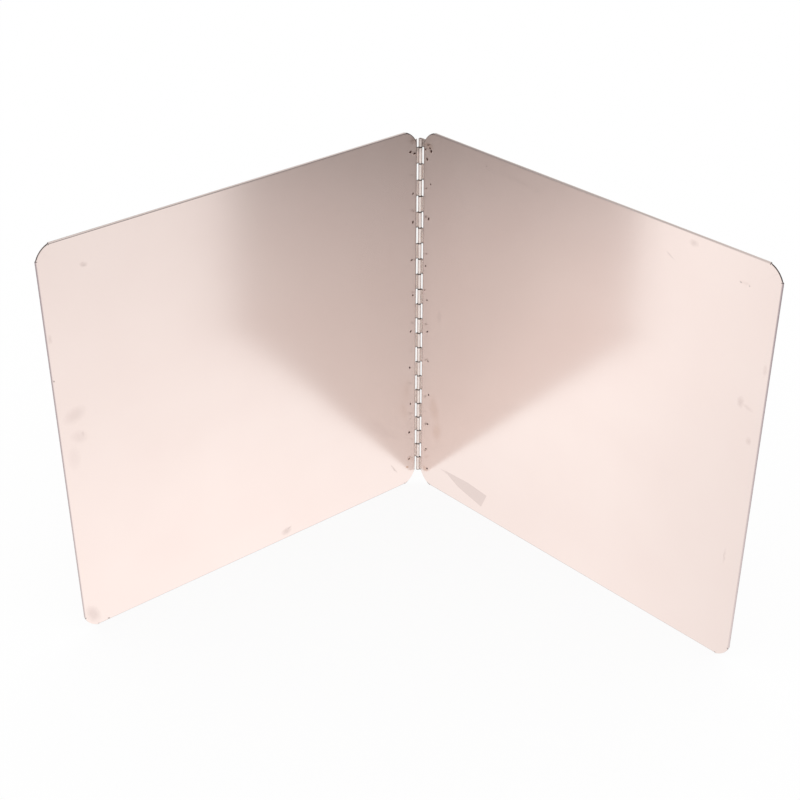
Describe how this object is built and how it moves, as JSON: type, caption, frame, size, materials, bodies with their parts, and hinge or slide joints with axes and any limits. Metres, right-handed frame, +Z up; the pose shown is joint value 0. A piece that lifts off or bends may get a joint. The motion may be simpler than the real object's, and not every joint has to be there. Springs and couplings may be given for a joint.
{
  "type": "splatter screen",
  "caption": "Folding splatter screen: square hemmed stainless steel panels joined by a continuous hinge, standing upright in a V.",
  "frame": {"origin": "centre of the footprint at rest, on the surface that the screen stands on", "axes": "+Z up; the hinge stands at +Y and the fold opens towards -Y; X spans the two wings, the left wing at -X"},
  "size_m": [0.4538, 0.2081, 0.3025],
  "materials": {
    "left_panel": "satin stainless sheet",
    "right_panel": "satin stainless sheet",
    "left_hinge_leaf": "rolled stainless strip",
    "right_hinge_leaf": "rolled stainless strip",
    "hinge_pin": "drawn steel wire"
  },
  "bodies": {
    "right_wing": {"right_panel": "right_panel", "right_hinge_leaf": "right_hinge_leaf", "hinge_pin": "hinge_pin"},
    "left_wing": {"left_panel": "left_panel", "left_hinge_leaf": "left_hinge_leaf"}
  },
  "joints": [
    {"name": "fold", "type": "hinge", "parent": "right_wing", "child": "left_wing", "pos_m": [0, 0.10265, 0.15], "axis": [0, 0, -1], "range_deg": [-94.5, 208]}
  ]
}
